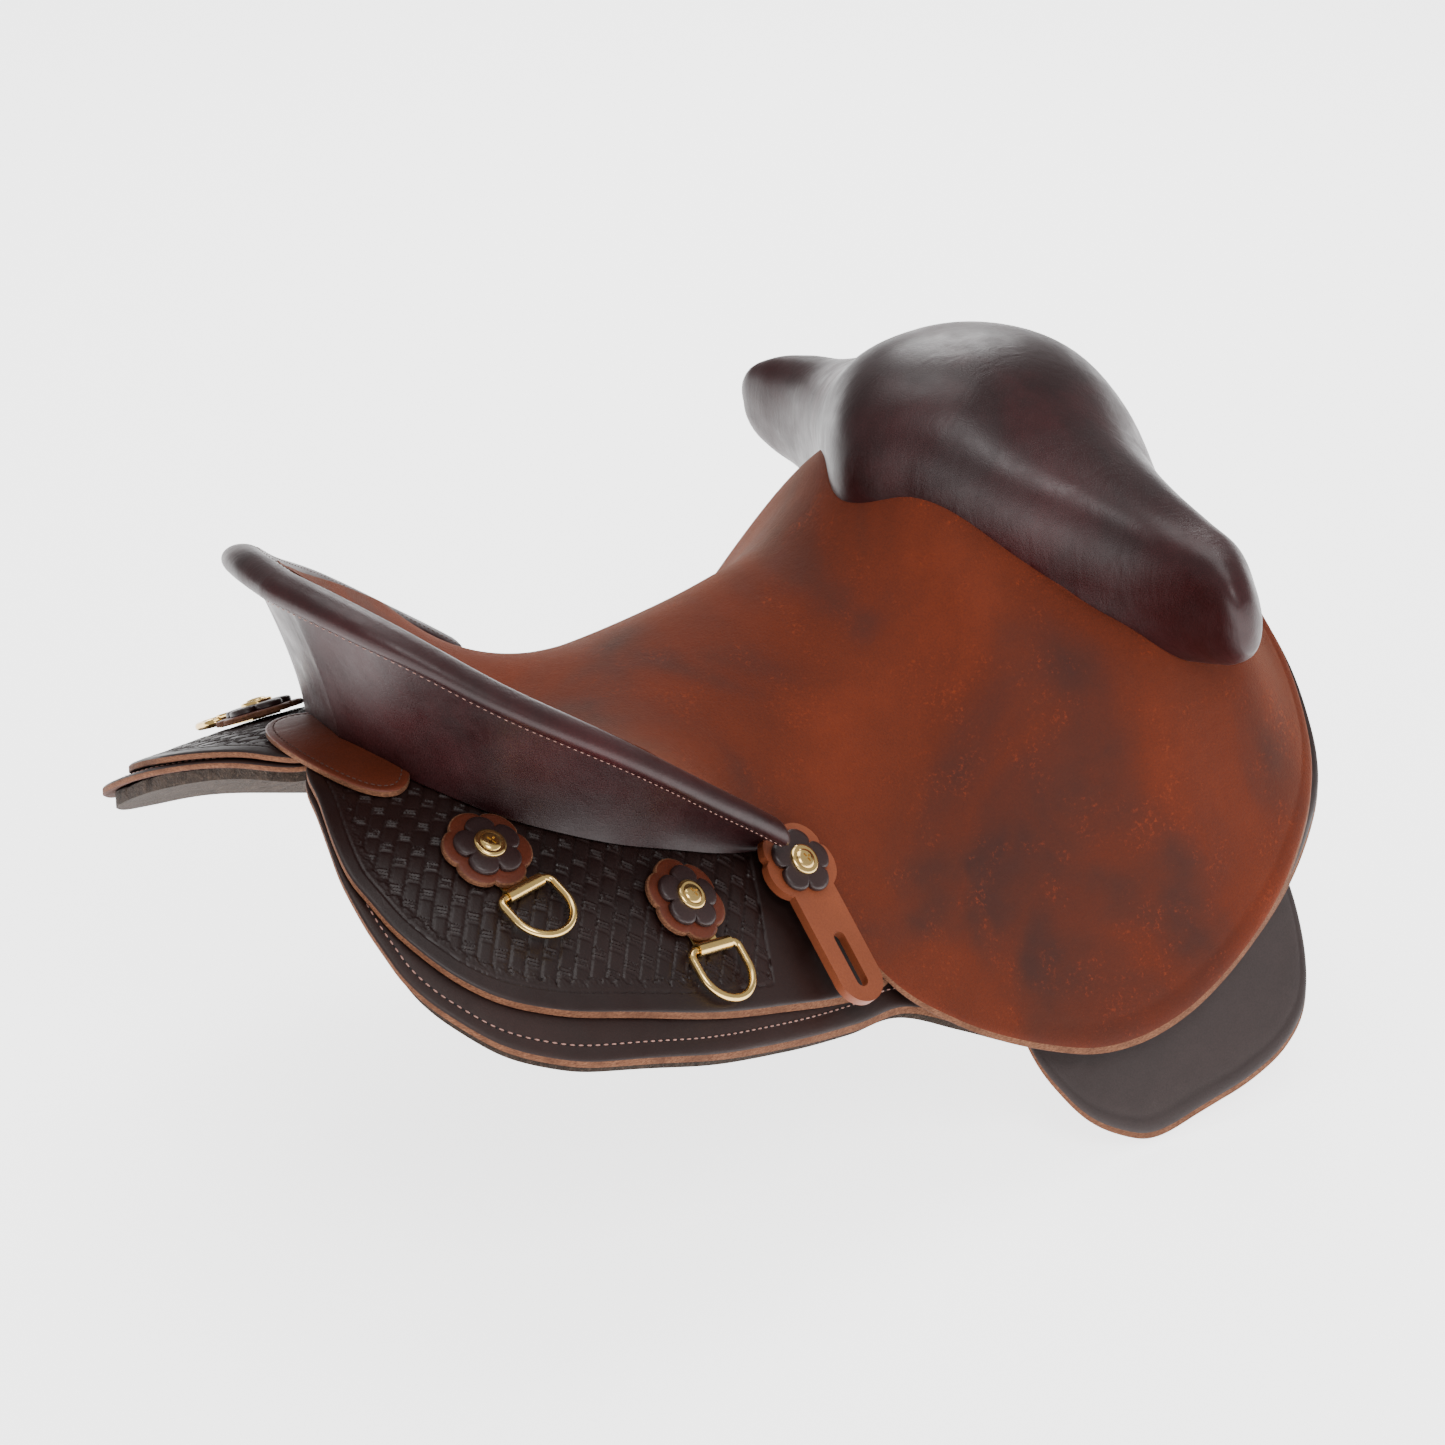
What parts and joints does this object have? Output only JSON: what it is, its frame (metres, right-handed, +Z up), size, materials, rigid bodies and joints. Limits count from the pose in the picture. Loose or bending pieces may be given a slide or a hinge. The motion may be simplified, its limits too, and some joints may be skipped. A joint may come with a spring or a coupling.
{
  "type": "saddle",
  "caption": "Riding saddle without a horn on a western-style tree: suede seat, tooled rear jockeys, bound cantle, swelled pommel, sweat flaps, brass dee rings and strap keepers.",
  "frame": {"origin": "on the centre plane, in the channel over the horse's spine, below the middle of the seat", "axes": "+X forward, towards the pommel and the horse's head; +Y to the rider's left; +Z up"},
  "size_m": [0.659, 0.5122, 0.4117],
  "materials": {
    "chestnut_suede": "rough-out, mottled",
    "chestnut_leather": "satin",
    "tooled_leather": "satin, hand tooled",
    "wool_felt": "matt",
    "skirt_leather": "satin",
    "flap_leather": "satin",
    "dark_leather": "satin",
    "burgundy_leather": "smooth, polished",
    "brass": "polished",
    "russet_leather": "satin",
    "tree_wood": "plain",
    "rawhide": "matt",
    "tree_steel": "plain",
    "foam": "matt"
  },
  "bodies": {
    "saddle": {"seat_cover": "chestnut_suede", "seat_foam": "foam", "seat_strainer": "tree_steel", "rear_patch": "chestnut_leather", "cantle_back_cover": "burgundy_leather", "tree_cantle": "tree_wood", "cantle_roll": "burgundy_leather", "swell_cover": "burgundy_leather", "tree_fork": "tree_wood", "gullet_plate": "tree_steel", "tree_bar_left": "tree_wood", "tree_bar_right": "tree_wood", "bar_tip_left": "rawhide", "bar_tip_right": "rawhide", "skirt_left": "skirt_leather", "skirt_right": "skirt_leather", "skirt_lining_left": "wool_felt", "skirt_lining_right": "wool_felt", "rear_jockey_left": "tooled_leather", "rear_jockey_right": "tooled_leather", "sweat_strip_left": "flap_leather", "sweat_strip_right": "flap_leather", "knee_pad_left": "foam", "knee_pad_right": "foam", "dee_clip_rear_left": "brass", "rosette_base_rear_left": "chestnut_leather", "rosette_flower_rear_left": "dark_leather", "rosette_screw_rear_left": "brass", "rosette_nut_rear_left": "brass", "dee_clip_mid_left": "brass", "rosette_base_mid_left": "chestnut_leather", "rosette_flower_mid_left": "dark_leather", "rosette_screw_mid_left": "brass", "rosette_nut_mid_left": "brass", "keeper_flower_left": "dark_leather", "keeper_screw_left": "brass", "dee_clip_rear_right": "brass", "rosette_base_rear_right": "chestnut_leather", "rosette_flower_rear_right": "dark_leather", "rosette_screw_rear_right": "brass", "rosette_nut_rear_right": "brass", "dee_clip_mid_right": "brass", "rosette_base_mid_right": "chestnut_leather", "rosette_flower_mid_right": "dark_leather", "rosette_screw_mid_right": "brass", "rosette_nut_mid_right": "brass", "keeper_flower_right": "dark_leather", "keeper_screw_right": "brass"},
    "dee_rear_left": {"dee_ring_rear_left": "brass"},
    "dee_mid_left": {"dee_ring_mid_left": "brass"},
    "strap_keeper_left": {"keeper_left": "russet_leather"},
    "sweat_flap_left": {"sweat_flap_left": "flap_leather"},
    "dee_rear_right": {"dee_ring_rear_right": "brass"},
    "dee_mid_right": {"dee_ring_mid_right": "brass"},
    "strap_keeper_right": {"keeper_right": "russet_leather"},
    "sweat_flap_right": {"sweat_flap_right": "flap_leather"}
  },
  "joints": [
    {"name": "dee_rear_left_swing", "type": "hinge", "parent": "saddle", "child": "dee_rear_left", "pos_m": [-0.21828, 0.13188, 0.00785], "axis": [0.992, -0.1226, 0.0303], "range_deg": [0, 150]},
    {"name": "dee_mid_left_swing", "type": "hinge", "parent": "saddle", "child": "dee_mid_left", "pos_m": [-0.12372, 0.17416, -0.04355], "axis": [0.9766, -0.109, -0.1856], "range_deg": [0, 150]},
    {"name": "strap_keeper_left_swivel", "type": "hinge", "parent": "saddle", "child": "strap_keeper_left", "pos_m": [-0.04044, 0.14364, -0.03779], "axis": [0.1434, 0.6767, 0.7222], "range_deg": [-10, 10]},
    {"name": "sweat_flap_left_swing", "type": "hinge", "parent": "saddle", "child": "sweat_flap_left", "pos_m": [0.19, 0.18, -0.09019], "axis": [-0.9748, 0, -0.2231], "range_deg": [0, 20], "stiffness_Nm_per_rad": 0.3},
    {"name": "dee_rear_right_swing", "type": "hinge", "parent": "saddle", "child": "dee_rear_right", "pos_m": [-0.21828, -0.13188, 0.00785], "axis": [-0.992, -0.1226, -0.0303], "range_deg": [0, 150]},
    {"name": "dee_mid_right_swing", "type": "hinge", "parent": "saddle", "child": "dee_mid_right", "pos_m": [-0.12372, -0.17416, -0.04355], "axis": [-0.9766, -0.109, 0.1856], "range_deg": [0, 150]},
    {"name": "strap_keeper_right_swivel", "type": "hinge", "parent": "saddle", "child": "strap_keeper_right", "pos_m": [-0.04044, -0.14364, -0.03779], "axis": [0.1434, -0.6767, 0.7222], "range_deg": [-10, 10]},
    {"name": "sweat_flap_right_swing", "type": "hinge", "parent": "saddle", "child": "sweat_flap_right", "pos_m": [0.19, -0.18, -0.09019], "axis": [0.9748, 0, 0.2231], "range_deg": [0, 20], "stiffness_Nm_per_rad": 0.3}
  ]
}
